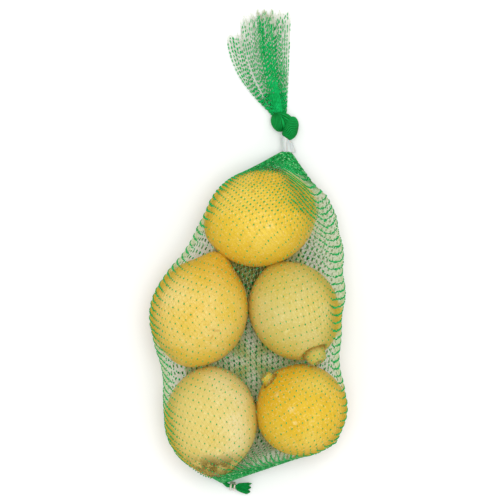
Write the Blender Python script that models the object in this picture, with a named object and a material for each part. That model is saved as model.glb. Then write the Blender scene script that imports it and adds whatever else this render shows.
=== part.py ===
"""A net of five lemons, lying flat: a knitted net stretched over the fruit, taped and knotted at its top, with the
spare netting fanned out beyond the knot, and crimped in a wire clip at its base.

X runs across the net, Y along it towards the knot, and Z up from the surface that it lies on. Metres.
"""

import math
from collections import namedtuple

import bpy
import numpy as np

# ---------------------------------------------------------------- driving dimensions

LEMON_WIDTH = 0.060     # a middling lemon across
LEMON_LENGTH = 0.073    # and from nub to stem
PRESS = 0.0006          # how far the netting is pressed flat where it lies on the table
MESH_GAP = 0.0003       # clearance between a clip or band and the netting inside it

# The fruit: middle (x, y), heading of the stem or nub from +X, tilt of that end up from the table, and the width
# and length as shares of a middling lemon.
Lemon = namedtuple("Lemon", "name x y heading tilt width length")
LEMONS = (
    Lemon("top", 0.0074, 0.0218, 15, 0, 1.035, 1.00),
    Lemon("left", -0.0313, -0.0385, 72, 0, 1.040, 1.055),
    Lemon("right", 0.0290, -0.0378, -64, 0, 0.965, 0.99),
    Lemon("low_left", -0.0240, -0.1072, -86, 4, 0.985, 0.99),
    Lemon("low_right", 0.0329, -0.1010, 136, 12, 0.990, 0.87),
)
NUB_RADIUS = 0.0075     # the blunt point that lifts the netting at a lemon's end

# Where the netting is looser than the fruit, it bows out on the right: (x, y, z) of balls that it bends round, and
# their radius.
FOLDS = (
    (0.0401, 0.0289, 0.0220, 0.0120),
    (0.0443, 0.0199, 0.0220, 0.0120),
    (0.0424, 0.0000, 0.0240, 0.0180),
    (0.0437, -0.0270, 0.0250, 0.0180),
)

# Between two lemons the netting sinks this share of the way from a straight line towards the fruit, up to a limit.
WAIST = 0.25
MOST_WAIST = 0.0030
WAIST_EASE = 0.030       # it starts this far from the ends of each run of lemons
WAIST_STEP = 0.0005
WAIST_BLUR = 21          # steps that its start and end are rounded over

# The gathered ends.
TOP_GATHER = (0.0242, 0.0622, 0.0095)
TOP_GATHER_RADIUS = 0.0034
BASE_GATHER = (-0.0168, -0.1476, 0.0046)
BASE_GATHER_RADIUS = 0.0020

# The neck runs from the top gather through the band to the knot.
KNOT = (0.0232, 0.0812, 0.0060)
NECK_RADIUS = (0.0023, 0.0018)   # at the gather, at the knot
KNOT_LOBES = (
    # middle from KNOT, half sizes across, along and up, turn about Z
    ((-0.0034, 0.0030, -0.0002), (0.0054, 0.0068, 0.0056), 28),
    ((0.0038, -0.0012, 0.0004), (0.0054, 0.0078, 0.0058), -14),
)

# The band wrapped round the neck.
BAND_WALL = 0.00035
BAND_ENDS = (0.0655, 0.0708)     # where it starts and stops along Y
BAND_SLANT = 0.0040              # how much higher its left corner is cut at the knot end
BAND_FLARE = (0.0016, 0.0036)    # how far its right side stands off, at the knot end and at the gather end

# The tail: the spare netting beyond the knot, in three overlapping folds. Each fold's tips run from one corner to
# the next, given as (x, y), and the first and last corners end the two edges of the whole fan.
TAIL_ROOT = (0.0200, 0.0880)
TAIL_ROOT_WIDTH = 0.0090
TAIL_TIPS = (
    ((-0.0145, 0.1375), (-0.0045, 0.1425)),
    ((-0.0055, 0.1505), (0.0090, 0.1555)),
    ((0.0095, 0.1535), (0.0270, 0.1565)),
)
TAIL_BOW = 0.0070                # how far the left edge bows out from a straight line
TAIL_THICKNESS = (0.0075, 0.0030)   # at the knot, at the tips
TAIL_RUFFLE = 0.0011
TAIL_RUFFLES = 5
TAIL_RIBS = 33
TAIL_STATIONS = 11
TAIL_TOOTH = 0.0016              # depth of the torn points along the tips

# The clip at the base, and the tuft of netting that leaves it.
CLIP_MIDDLE = (-0.0106, -0.1518, 0.0046)
CLIP_WIRE = 0.00065              # radius of the wire
CLIP_REACH = 0.0024              # from the middle of the base neck to the middle of the wire
CLIP_LEGS = 0.0024               # between its two legs
CLIP_ENDS = (215, 10)            # where a leg starts under the neck, and where it turns into the other leg
BASE_NECK_RADIUS = 0.0013
TUFT_LENGTH = 0.0095
TUFT_WIDTH = 0.0080
TUFT_HEADING = -9

AROUND = 48              # points round the filled net
ALONG = 42               # rings along it
DIRECTIONS = 72          # directions in which the net's reach is measured

Blob = namedtuple("Blob", "middle spread")   # spread is the ellipsoid's own matrix, half sizes squared


# ---------------------------------------------------------------- small helpers

def clear_scene():
    for obj in list(bpy.data.objects):
        bpy.data.objects.remove(obj, do_unlink=True)


def material(name, colour, roughness, metallic=0.0):
    made = bpy.data.materials.new(name)
    made.use_nodes = True
    shader = made.node_tree.nodes["Principled BSDF"]
    shader.inputs["Base Color"].default_value = (*colour, 1.0)
    shader.inputs["Roughness"].default_value = roughness
    shader.inputs["Metallic"].default_value = metallic
    return made


def mesh_object(name, points, faces, surface):
    mesh = bpy.data.meshes.new(name)
    mesh.from_pydata([tuple(map(float, point)) for point in points], [], faces)
    mesh.validate()
    mesh.shade_smooth()
    mesh.set_sharp_from_angle(angle=math.radians(50))
    mesh.materials.append(surface)
    obj = bpy.data.objects.new(name, mesh)
    bpy.context.scene.collection.objects.link(obj)
    return obj


def ring_faces(rings, sides):
    """Quads between rings of points, and a face that closes each end."""
    faces = [tuple(reversed(range(sides)))]
    for ring in range(rings - 1):
        for side in range(sides):
            a = ring * sides + side
            b = ring * sides + (side + 1) % sides
            faces.append((a, b, b + sides, a + sides))
    faces.append(tuple((rings - 1) * sides + side for side in range(sides)))
    return faces


def turn_z(degrees):
    angle = math.radians(degrees)
    return np.array([
        [math.cos(angle), -math.sin(angle), 0.0],
        [math.sin(angle), math.cos(angle), 0.0],
        [0.0, 0.0, 1.0],
    ])


def turn_y(degrees):
    angle = math.radians(degrees)
    return np.array([
        [math.cos(angle), 0.0, -math.sin(angle)],
        [0.0, 1.0, 0.0],
        [math.sin(angle), 0.0, math.cos(angle)],
    ])


def sweep(name, path, half_widths, half_heights, surface, sides=16):
    """A closed tube with an oval section along a path that lies nearly flat."""
    path = np.asarray(path, float)
    along = np.gradient(path, axis=0)
    along /= np.linalg.norm(along, axis=1)[:, None]
    across = np.cross(along, (0.0, 0.0, 1.0))
    across /= np.linalg.norm(across, axis=1)[:, None]
    up = np.cross(across, along)
    angles = np.linspace(0.0, 2 * math.pi, sides, endpoint=False)
    points = []
    for middle, side, lift, wide, high in zip(path, across, up, half_widths, half_heights):
        for angle in angles:
            points.append(middle + side * wide * math.cos(angle) + lift * high * math.sin(angle))
    return mesh_object(name, points, ring_faces(len(path), sides), surface)


def ellipsoid(name, middle, half_sizes, degrees, surface, sides=20, rings=12):
    turn = turn_z(degrees)
    points = [middle + turn @ (0.0, -half_sizes[1], 0.0)]
    for ring in range(1, rings):
        polar = math.pi * ring / rings
        for side in range(sides):
            angle = 2 * math.pi * side / sides
            unit = (math.sin(polar) * math.cos(angle), -math.cos(polar), math.sin(polar) * math.sin(angle))
            points.append(middle + turn @ (np.array(unit) * half_sizes))
    points.append(middle + turn @ (0.0, half_sizes[1], 0.0))
    last = len(points) - 1
    faces = [(0, 1 + (side + 1) % sides, 1 + side) for side in range(sides)]
    for ring in range(rings - 2):
        for side in range(sides):
            a = 1 + ring * sides + side
            b = 1 + ring * sides + (side + 1) % sides
            faces.append((a, b, b + sides, a + sides))
    start = last - sides
    faces += [(last, start + side, start + (side + 1) % sides) for side in range(sides)]
    return mesh_object(name, points, [tuple(reversed(face)) for face in faces], surface)


def unite(target, others):
    for other in others:
        modifier = target.modifiers.new("join " + other.name, "BOOLEAN")
        modifier.operation = "UNION"
        modifier.solver = "EXACT"
        modifier.object = other
        other.hide_render = True
        other.display_type = "WIRE"


# ---------------------------------------------------------------- the filled net

def lemon_blobs(lemon):
    """An ellipsoid for the fruit, resting on the table, and a small ball for the blunt point at each end."""
    half = np.array([lemon.length * LEMON_LENGTH, lemon.width * LEMON_WIDTH, lemon.width * LEMON_WIDTH]) / 2
    turn = turn_z(lemon.heading) @ turn_y(lemon.tilt)
    spread = turn @ np.diag(half**2) @ turn.T
    middle = np.array([lemon.x, lemon.y, math.sqrt(spread[2, 2]) - PRESS])
    body = half.copy()
    body[0] -= NUB_RADIUS * 0.35
    blobs = [Blob(middle, turn @ np.diag(body**2) @ turn.T)]
    for end in (-1, 1):
        tip = middle + turn @ (end * (half[0] - NUB_RADIUS), 0.0, 0.0)
        blobs.append(ball(tip, NUB_RADIUS))
    return blobs


def ball(middle, radius):
    return Blob(np.array(middle), np.eye(3) * radius**2)


def outline(blob, across, samples=40):
    """The blob's outline seen square to Y and across: (y, reach) on the side that faces across."""
    angles = np.linspace(0.0, math.pi, samples)
    heading = np.outer(np.cos(angles), (0.0, 1.0, 0.0)) + np.outer(np.sin(angles), across)
    pushed = heading @ blob.spread
    edge = blob.middle + pushed / np.sqrt((pushed * heading).sum(axis=1))[:, None]
    return np.column_stack([edge[:, 1], edge @ across])


def taut(points):
    """The line that a thread takes over the points, from the lowest y to the highest."""
    order = points[np.lexsort((points[:, 1], points[:, 0]))]
    line = []
    for point in order:
        while len(line) > 1:
            first, last = line[-2], line[-1]
            turn = (last[0] - first[0]) * (point[1] - first[1]) - (last[1] - first[1]) * (point[0] - first[0])
            if turn < 0:
                break
            line.pop()
        line.append(point)
    return np.array(line)


def waist(line, outlines, stations):
    """How far the netting sinks below its taut line between one blob and the next."""
    fine = np.arange(line[0, 0], line[-1, 0], WAIST_STEP)
    straight = np.interp(fine, line[:, 0], line[:, 1])
    fruit = np.max([np.interp(fine, *taut(edge).T, left=-1, right=-1) for edge in outlines], axis=0)
    sink = np.minimum(WAIST * (straight - fruit), MOST_WAIST)
    blur = np.hanning(WAIST_BLUR + 2)
    sink = np.convolve(sink, blur / blur.sum(), mode="same")
    ease = np.clip(np.minimum(fine - fine[0], fine[-1] - fine) / WAIST_EASE, 0.0, 1.0)
    return np.interp(stations, fine, sink * ease)


def reach(groups, across, stations):
    """How far the netting stands out along across at each station: taut over each group of blobs, less its waist."""
    facing = min(max((across[2] + 0.9) / 0.6, 0.0), 1.0)
    found = np.full(len(stations), -np.inf)
    for group in groups:
        outlines = [outline(blob, across) for blob in group]
        line = taut(np.vstack(outlines))
        inside = (stations >= line[0, 0]) & (stations <= line[-1, 0])
        taken = np.interp(stations, line[:, 0], line[:, 1]) - facing * waist(line, outlines, stations)
        found[inside] = np.maximum(found[inside], taken[inside])
    return found


def outline_round(points, count):
    """Points an equal distance apart round the convex outline of points in the XZ plane, from under its middle."""
    upper = taut(points)
    lower = taut(points * (1, -1)) * (1, -1)
    closed = np.vstack([lower, upper[::-1]])
    run = np.concatenate([[0.0], np.cumsum(np.linalg.norm(np.diff(closed, axis=0), axis=1))])
    middle = (lower[0, 0] + lower[-1, 0]) / 2
    start = np.interp(middle, lower[:, 0], run[:len(lower)])
    wanted = (start + np.linspace(0.0, run[-1], count, endpoint=False)) % run[-1]
    return np.column_stack([np.interp(wanted, run, closed[:, 0]), np.interp(wanted, run, closed[:, 1])])


def net_groups():
    """The runs of fruit and folds that the netting bridges, from the knot to the base."""
    top, left, right, low_left, low_right = [lemon_blobs(lemon) for lemon in LEMONS]
    folds = [ball(fold[:3], fold[3]) for fold in FOLDS]
    top_gather = [ball(TOP_GATHER, TOP_GATHER_RADIUS)]
    base_gather = [ball(BASE_GATHER, BASE_GATHER_RADIUS)]
    return (
        top_gather + top + folds[:2],
        top + left + right + folds,
        left + right + low_left + low_right,
        low_left + low_right + base_gather,
    )


def filled_net(surface):
    """The netting over the fruit: rings across the net, each one stretched round what it holds there."""
    lowest = BASE_GATHER[1] - 0.6 * BASE_GATHER_RADIUS
    highest = TOP_GATHER[1] + 0.6 * TOP_GATHER_RADIUS
    share = (1 - np.cos(np.linspace(0.0, math.pi, ALONG))) / 2
    stations = lowest + (highest - lowest) * share
    groups = net_groups()
    step = 2 * math.pi / DIRECTIONS
    angles = np.arange(DIRECTIONS) * step
    reaches = np.array([reach(groups, np.array([math.cos(a), 0.0, math.sin(a)]), stations) for a in angles])
    points = []
    for station, here in zip(stations, reaches.T):
        ahead = np.roll(here, -1)
        slide = (ahead - here * math.cos(step)) / math.sin(step)
        corners = np.column_stack([
            here * np.cos(angles) - slide * np.sin(angles),
            here * np.sin(angles) + slide * np.cos(angles),
        ])
        for x, z in outline_round(corners, AROUND):
            points.append((x, station, max(z, 0.0)))
    return mesh_object("net", points, ring_faces(ALONG, AROUND), surface)


# ---------------------------------------------------------------- neck, knot and tail

def neck_path(count=9):
    start = np.array(TOP_GATHER)
    end = np.array(KNOT)
    share = np.linspace(0.0, 1.0, count)
    ease = share**2 * (3 - 2 * share)
    path = start + (end - start) * share[:, None]
    path[:, 2] = start[2] + (end[2] - start[2]) * ease
    return path


def neck(surface):
    path = neck_path()
    radii = np.linspace(*NECK_RADIUS, len(path))
    return sweep("neck", path, radii, radii, surface)


def knot_lobes(surface):
    lobes = []
    for number, (offset, half_sizes, degrees) in enumerate(KNOT_LOBES, 1):
        middle = np.array(KNOT) + offset
        lobes.append(ellipsoid(f"knot_lobe_{number}", middle, half_sizes, degrees, surface))
    return lobes


def tail_tip(share):
    """The tip of the rib at this share of the way across the fan, from its left edge to its right."""
    fold = min(int(share * len(TAIL_TIPS)), len(TAIL_TIPS) - 1)
    first, last = np.array(TAIL_TIPS[fold])
    return first + (last - first) * (share * len(TAIL_TIPS) - fold)


def tail(surface):
    """The fan: ribs from the knot to the tips, ruffled in folds that open towards the tips."""
    root = np.array(TAIL_ROOT)
    top, bottom = [], []
    for rib in range(TAIL_RIBS):
        share = rib / (TAIL_RIBS - 1)
        start = root + ((share - 0.5) * TAIL_ROOT_WIDTH, 0.0)
        tip = tail_tip(share) - (0.0, TAIL_TOOTH * (rib % 2))
        bow = -TAIL_BOW * (1 - share)
        for station in range(TAIL_STATIONS):
            run = station / (TAIL_STATIONS - 1)
            x, y = start + (tip - start) * run
            x += bow * math.sin(math.pi * run)
            edge = math.sqrt(max(1 - (2 * share - 1)**2, 0.0))
            thick = TAIL_THICKNESS[0] + (TAIL_THICKNESS[1] - TAIL_THICKNESS[0]) * run
            ruffle = TAIL_RUFFLE * run * (1 + math.sin(2 * math.pi * TAIL_RUFFLES * share))
            top.append((x, y, ruffle + thick * (0.35 + 0.65 * edge)))
            bottom.append((x, y, ruffle * 0.8))
    count = len(top)
    faces = []
    for rib in range(TAIL_RIBS - 1):
        for station in range(TAIL_STATIONS - 1):
            a = rib * TAIL_STATIONS + station
            b = a + TAIL_STATIONS
            faces.append((a, b, b + 1, a + 1))
            faces.append((count + a, count + a + 1, count + b + 1, count + b))
    for station in range(TAIL_STATIONS - 1):
        a = station
        b = (TAIL_RIBS - 1) * TAIL_STATIONS + station
        faces.append((a, a + 1, count + a + 1, count + a))
        faces.append((b + 1, b, count + b, count + b + 1))
    for rib in range(TAIL_RIBS - 1):
        a = rib * TAIL_STATIONS
        b = a + TAIL_STATIONS
        faces.append((b, a, count + a, count + b))
        a += TAIL_STATIONS - 1
        b += TAIL_STATIONS - 1
        faces.append((a, b, count + b, count + a))
    return mesh_object("tail", top + bottom, faces, surface)


# ---------------------------------------------------------------- base: neck and tuft

def base_neck_path():
    """From inside the net, straight through the clip and on to the tuft."""
    start = np.array(BASE_GATHER) + (-0.004, 0.003, 0.0)
    middle = np.array(CLIP_MIDDLE)
    heading = turn_z(TUFT_HEADING) @ (1.0, 0.0, 0.0)
    return np.array([start, middle - 0.0036 * heading, middle, middle + 0.0035 * heading])


def base_neck(surface):
    path = base_neck_path()
    radii = [BASE_NECK_RADIUS] * len(path)
    return sweep("base_neck", path, radii, radii, surface, sides=12)


def tuft(surface):
    """A short fan of netting ends beyond the clip, widening and thinning to its tip."""
    heading = turn_z(TUFT_HEADING) @ (1.0, 0.0, 0.0)
    start = np.array(CLIP_MIDDLE) + 0.0028 * heading
    share = np.linspace(0.0, 1.0, 6)
    path = start + np.outer(share * TUFT_LENGTH, heading)
    path[:, 2] -= 0.0020 * share
    wide = BASE_NECK_RADIUS + (TUFT_WIDTH / 2 - BASE_NECK_RADIUS) * np.sqrt(share)
    high = BASE_NECK_RADIUS * (1.1 - 0.5 * share)
    return sweep("tuft", path, wide, high, surface, sides=12)


# ---------------------------------------------------------------- band and clip

def neck_band(surface):
    """A strip wrapped round the neck: a thin sleeve, cut aslant at the knot and flared at the gather."""
    path = neck_path(41)
    sides = 24
    rings = 8
    points = []
    for wall, order in ((BAND_WALL, 1), (0.0, -1)):
        for ring in range(rings)[::order]:
            run = ring / (rings - 1)
            for side in range(sides):
                angle = 2 * math.pi * side / sides
                y = BAND_ENDS[0] + (BAND_ENDS[1] - BAND_ENDS[0]) * run
                y += BAND_SLANT * run * (1 - math.cos(angle)) / 2
                middle = [np.interp(y, path[:, 1], path[:, axis]) for axis in (0, 2)]
                radius = NECK_RADIUS[0] + MESH_GAP + wall
                loose = BAND_FLARE[0] + (BAND_FLARE[1] - BAND_FLARE[0]) * (1 - run)
                points.append((
                    middle[0] + radius * math.cos(angle) + loose * (1 + math.cos(angle)) / 2,
                    y,
                    middle[1] + radius * math.sin(angle),
                ))
    total = 2 * rings
    faces = []
    for ring in range(total):
        for side in range(sides):
            a = ring * sides + side
            b = ring * sides + (side + 1) % sides
            c = (ring + 1) % total * sides + (side + 1) % sides
            d = (ring + 1) % total * sides + side
            faces.append((d, c, b, a))
    return mesh_object("neck_band", points, faces, surface)


def base_clip(surface):
    """A wire staple crimped over the base neck: two legs side by side, joined behind it."""
    leg = []
    for degrees in np.linspace(*CLIP_ENDS, 13):
        angle = math.radians(degrees)
        leg.append(np.array((0.0, CLIP_REACH * math.cos(angle), 0.95 * CLIP_REACH * math.sin(angle))))
    path = [point - (CLIP_LEGS / 2, 0.0, 0.0) for point in leg]
    path += [point + (CLIP_LEGS / 2, 0.0, 0.0) for point in reversed(leg)]
    curve = bpy.data.curves.new("base_clip", "CURVE")
    curve.dimensions = "3D"
    curve.bevel_depth = CLIP_WIRE
    curve.bevel_resolution = 2
    curve.use_fill_caps = True
    spline = curve.splines.new("POLY")
    spline.points.add(len(path) - 1)
    for point, place in zip(spline.points, path):
        point.co = (*place, 1.0)
    curve.materials.append(surface)
    obj = bpy.data.objects.new("base_clip", curve)
    bpy.context.scene.collection.objects.link(obj)
    obj.location = CLIP_MIDDLE
    obj.rotation_euler = (0.0, 0.0, math.radians(TUFT_HEADING))
    return obj


def main():
    clear_scene()
    netting = material("netting", (0.05, 0.45, 0.18), 0.45)
    strip = material("strip", (0.80, 0.82, 0.78), 0.35)
    wire = material("wire", (0.55, 0.47, 0.36), 0.35, metallic=1.0)
    net = filled_net(netting)
    pieces = [neck(netting), *knot_lobes(netting), tail(netting), base_neck(netting), tuft(netting)]
    unite(net, pieces)
    neck_band(strip)
    base_clip(wire)


main()
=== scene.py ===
import math
from collections import namedtuple

import bpy
import numpy as np
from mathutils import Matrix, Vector


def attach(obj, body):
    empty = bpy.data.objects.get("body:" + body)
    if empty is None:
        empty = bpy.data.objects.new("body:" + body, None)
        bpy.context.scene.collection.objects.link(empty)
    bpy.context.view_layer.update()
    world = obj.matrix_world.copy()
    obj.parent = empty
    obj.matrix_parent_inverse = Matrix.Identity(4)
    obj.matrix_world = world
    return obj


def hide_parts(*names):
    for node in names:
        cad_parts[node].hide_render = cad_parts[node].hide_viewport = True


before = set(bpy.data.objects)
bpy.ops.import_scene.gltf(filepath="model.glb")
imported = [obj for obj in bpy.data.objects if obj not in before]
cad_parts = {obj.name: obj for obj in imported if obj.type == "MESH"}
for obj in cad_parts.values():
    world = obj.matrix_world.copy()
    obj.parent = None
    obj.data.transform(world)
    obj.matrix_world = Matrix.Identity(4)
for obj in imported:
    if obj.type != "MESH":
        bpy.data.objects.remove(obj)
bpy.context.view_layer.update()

# ---------------------------------------------------------------- sizes, in metres

LEMON_WIDTH = 0.060
LEMON_LENGTH = 0.073
PRESS = 0.0006           # how far a lemon is flattened where it rests
NET_GAP = 0.0005         # least distance from the peel to the middle of a stitch
PEEL_GAP = 0.0003        # from the peel to the middle of the netting's thread

# The fruit as the frame holds it: middle (x, y), heading of the marked end from +X, its tilt up, width and
# length as shares of a middling lemon. Then the nub at the marked end: how far it stands out, how broad it is
# in radians, how like a button, from 2 for a smooth cone to 6 for a collar, and how many degrees above the
# very end it sits. Last, how far the other end stands out, which is always smooth.
Lemon = namedtuple("Lemon", "name x y heading tilt width length nub nub_spread collar lift far")
LEMONS = (
    Lemon("top", 0.0074, 0.0218, 15, 0, 1.035, 1.00, 0.0014, 0.34, 2, 0, 0.0022),
    Lemon("left", -0.0313, -0.0385, 72, 0, 1.040, 1.055, 0.0060, 0.26, 2, 0, 0.0015),
    Lemon("right", 0.0290, -0.0378, -64, 0, 0.965, 0.99, 0.0060, 0.20, 6, 15, 0.0016),
    Lemon("low_left", -0.0240, -0.1072, -86, 4, 0.985, 0.99, 0.0040, 0.30, 2, 6, 0.0010),
    Lemon("low_right", 0.0329, -0.1010, 136, 12, 0.990, 0.87, 0.0042, 0.15, 5, 0, 0.0008),
)
FAR_SPREAD = 0.30        # how broad that other end is, in radians
LEMON_ALONG = 110        # rings and sides of a lemon's mesh
LEMON_AROUND = 160
# Each fruit's ripe, pale and deep yellow, how strong the stain round its nub is, and how far from the nub's
# middle, in radians, the brown line round it lies, in the crease round the collar: partly a crack and
# partly painted shade there.
PEELS = (
    ((0.74, 0.50, 0.030), (0.80, 0.58, 0.075), (0.70, 0.40, 0.008), 0.0, 0.0),
    ((0.72, 0.51, 0.070), (0.78, 0.62, 0.220), (0.70, 0.41, 0.008), 0.0, 0.0),
    ((0.60, 0.50, 0.120), (0.65, 0.57, 0.220), (0.64, 0.44, 0.030), 0.0, 0.245),
    ((0.70, 0.57, 0.180), (0.77, 0.67, 0.330), (0.66, 0.48, 0.070), 0.97, 0.0),
    ((0.72, 0.48, 0.028), (0.76, 0.57, 0.090), (0.70, 0.39, 0.006), 0.0, 0.19),
)
BRUISE = (0.45, 0.20, 0.008)
# Painted sheen: a pale colour laid where each fruit's highlight falls.
PAINTED_SHEEN = (0.88, 0.74, 0.32)
RIPE_ENDS = ("left", "low_right")   # the fruit whose marked end is a deeper yellow
# Marks on a fruit's peel, brown bruises and pale patches of painted sheen: middle (x, y), half length, half
# width, heading and colour.
BRUISES_AND_SHEEN = {
    "top": ((0.0026, 0.0385, 0.0016, 0.0012, 0, BRUISE), (0.0130, 0.0165, 0.0030, 0.0022, 30, PAINTED_SHEEN)),
    "left": ((-0.0215, -0.0494, 0.0042, 0.0012, -10, BRUISE), (-0.0235, -0.0540, 0.0032, 0.0008, 60, BRUISE)),
    "right": ((0.0240, -0.0500, 0.0026, 0.0014, 40, PAINTED_SHEEN),),
    "low_left": ((-0.0120, -0.1150, 0.0030, 0.0020, 20, PAINTED_SHEEN),),
    "low_right": (
        (0.0176, -0.0904, 0.0022, 0.0014, 50, PAINTED_SHEEN),
        (0.0266, -0.0995, 0.0036, 0.0022, 20, PAINTED_SHEEN),
        (0.0290, -0.1080, 0.0024, 0.0013, -20, PAINTED_SHEEN),
    ),
}

# What the frame's net is drawn over besides the fruit, as it is there.
NUB_RADIUS = 0.0075
FOLDS = (                # slack netting at the right: middle and radius
    (0.0401, 0.0289, 0.0220, 0.0120),
    (0.0443, 0.0199, 0.0220, 0.0120),
    (0.0424, 0.0000, 0.0240, 0.0180),
    (0.0437, -0.0270, 0.0250, 0.0180),
)
WAIST = 0.25             # how far the netting sinks between blobs, as a share of the room there
MOST_WAIST = 0.0030
WAIST_EASE = 0.030       # from either end, over which the waist grows in
WAIST_STEP = 0.0005
WAIST_BLUR = 21
TOP_GATHER = (0.0242, 0.0622, 0.0095)
TOP_GATHER_RADIUS = 0.0034
BASE_GATHER = (-0.0168, -0.1476, 0.0046)
BASE_GATHER_RADIUS = 0.0020
KNOT = (0.0232, 0.0812, 0.0060)
CLIP_MIDDLE = (-0.0106, -0.1518, 0.0046)
CLIP_WIRE = 0.00065
CLIP_REACH = 0.0024
CLIP_LEGS = 0.0024

# The knitting: wales run along the net and courses round it. Places round it are shares of a turn from under
# its middle: 0.25 is the right side, 0.5 the top.
WALES = 108
COURSES = 77
TWIST = 0.115            # share of the wales that cross the top's middle line from the base to the neck
# Where the netting is slack its wales crowd together: (place, breadth, how many more, lowest y, highest y).
SLACK = (
    (0.31, 0.065, 2.4, -0.010, 0.090),
    (0.275, 0.045, 2.6, -0.075, -0.010),
    (0.36, 0.060, 3.0, 0.030, 0.090),
    (0.255, 0.035, 1.6, -0.180, -0.110),
    (0.26, 0.030, 1.2, -0.110, -0.075),
    (0.725, 0.045, 2.0, -0.180, 0.010),
    (0.74, 0.050, 4.0, 0.010, 0.090),
)
SLACK_EASE = 0.015
COURSE_FALL = 0.085      # how far below its middle height a course reaches, as a share of the length
COURSE_ENDS = (0.305, 0.80)  # places where a course is lowest and highest
PLACES_ROUND = 720       # at which courses and wales are worked out
COURSE_BLUR = 15         # places either side that smooth a course's turn at those ends
COURSE_BEND = 1.4        # above 1, a course falls steeper towards its lowest place
FALL_EASE = 0.20         # share of the length at each end over which the courses come level
# Stitches lie close at both ends: (share of the length from the base, share of the courses up to there).
GATHERED = ((0.0, 0.0), (0.06, 0.13), (0.80, 0.694), (0.92, 0.83), (1.0, 1.0))
# Half width and half length of a green stitch where the netting is taut, slack, underneath and gathered.
STITCH = (0.00036, 0.00058)
SLACK_STITCH = (0.00095, 0.00080)
UNDER_STITCH = (0.00066, 0.00120)
GATHER_STITCH = (0.00070, 0.00150)
BEAD_SIDES = 5
TUBE_SIDES = 3
SLACK_SPACING = (0.0013, 0.0028)   # between wales: slack below, taut above
THREAD_RADIUS = 0.000052
GATHER_GREEN = 0.015     # from a gather, how far its yarn looks green
# The netting is also drawn thick along these lines, from a gather to the bag's shoulders.
SEAMS = (
    (TOP_GATHER, (-0.0115, 0.0520)),
    (TOP_GATHER, (0.0425, 0.0435)),
    (BASE_GATHER, (0.0340, -0.1325)),
)
SEAM_BREADTH = 0.0048    # at the gather
VEIL_HEIGHT = 0.0035     # up to which the underside's finest yarn and the painted shade between the fruit are drawn as a sheet
LOWEST = 0.0006          # of the middle of a thread, so that its stitches stay off the floor

# The neck, knot, tail, band, clip and tuft.
NECK_RADIUS = 0.0019
BAND_ENDS = (0.0645, 0.0712)
BAND_SLANT = 0.0045
BAND_WALL = 0.00025
BAND_FLARE = (0.0016, 0.0036)   # how far its right side stands off the neck at the top and at the bottom
# Each lobe's middle from KNOT, half sizes along its strands, across and up, heading, strands and their slant.
KNOT_LOBES = (
    ((-0.0034, 0.0030, -0.0002), (0.0068, 0.0056, 0.0056), 118, 26, 0.9),
    ((0.0038, -0.0012, 0.0004), (0.0054, 0.0078, 0.0058), -14, 30, -0.9),
    ((0.0006, 0.0052, -0.0006), (0.0060, 0.0034, 0.0050), 150, 20, 0.6),
)
LOBE_RINGS = 80
LOBE_SIDES = 240
TAIL_ROOT = (0.0200, 0.0880)
TAIL_ROOT_WIDTH = 0.0085
TAIL_TIPS = (            # the first and last tip of each torn fold, from the left
    ((-0.0148, 0.1415), (-0.0042, 0.1420)),
    ((-0.0060, 0.1520), (0.0092, 0.1575)),
    ((0.0097, 0.1560), (0.0272, 0.1570)),
)
TAIL_BOW = 0.0070
# The flattened tail's path across the fan: (place from its left edge to its right, height, wales so far).
TAIL_PATH = ((0.0, 0.30, 0), (1.0, 0.12, 36), (0.38, 0.55, 60), (0.76, 0.85, 78), (0.0, 0.42, 108))
TAIL_HEIGHT = (0.0066, 0.0030)   # at the knot, at the tips
TAIL_RUFFLE = 0.0009
TAIL_COURSE = 0.0029
TAIL_TEETH = 11
TAIL_TOOTH = 0.075       # of the tail's length
TAIL_STITCH = (0.00041, 0.00098)
TAIL_POINTS = 24         # along each wale
VEIL_COLUMNS = 6         # of the tail's sheet for each wale
VEIL_ROWS = 26
TUFT_LENGTH = 0.0095
TUFT_WIDTH = 0.0076
TUFT_HEADING = -9
TUFT_STRANDS = 260

SIDES_AROUND = 4 * WALES
RINGS_ALONG = 150
DIRECTIONS = 120

# The camera looks straight down at the net, in even white light.
CAMERA = (0.00065, 0.0013, 2.0)
SEEN = 0.325             # width of the picture, on the floor
KEY_PLACE = (0.12, 0.08, 1.75)
KEY_SIZE = 1.0
KEY_POWER = 13.5
SKY = 0.88
FLOOR_SIDE = 6.0
FLOOR_WHITE = 0.93

UP = (0.0, 0.0, 1.0)
RANDOM = np.random.default_rng(11)
Blob = namedtuple("Blob", "middle spread")


# ---------------------------------------------------------------- general helpers

def clamp(values):
    return np.clip(values, 0.0, 1.0)


def unit(vectors):
    return vectors / np.maximum(np.linalg.norm(vectors, axis=-1, keepdims=True), 1e-12)


def turn_z(degrees):
    angle = math.radians(degrees)
    return np.array([
        [math.cos(angle), -math.sin(angle), 0.0],
        [math.sin(angle), math.cos(angle), 0.0],
        [0.0, 0.0, 1.0],
    ])


def turn_y(degrees):
    angle = math.radians(degrees)
    return np.array([
        [math.cos(angle), 0.0, -math.sin(angle)],
        [0.0, 1.0, 0.0],
        [math.sin(angle), 0.0, math.cos(angle)],
    ])


def linked(name, data):
    """A new object in the scene."""
    obj = bpy.data.objects.new(name, data)
    bpy.context.scene.collection.objects.link(obj)
    return obj


def mesh_piece(name, points, faces, material):
    """A smooth object from arrays of points and of faces that all have the same number of corners."""
    faces = np.asarray(faces, np.int32)
    points = np.asarray(points, np.float32)
    mesh = bpy.data.meshes.new(name)
    mesh.vertices.add(len(points))
    mesh.vertices.foreach_set("co", points.ravel())
    mesh.loops.add(faces.size)
    mesh.loops.foreach_set("vertex_index", faces.ravel())
    mesh.polygons.add(len(faces))
    mesh.polygons.foreach_set("loop_start", np.arange(0, faces.size, faces.shape[1], dtype=np.int32))
    mesh.update(calc_edges=True)
    mesh.validate()
    mesh.shade_smooth()
    mesh.materials.append(material)
    return linked(name, mesh)


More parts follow.
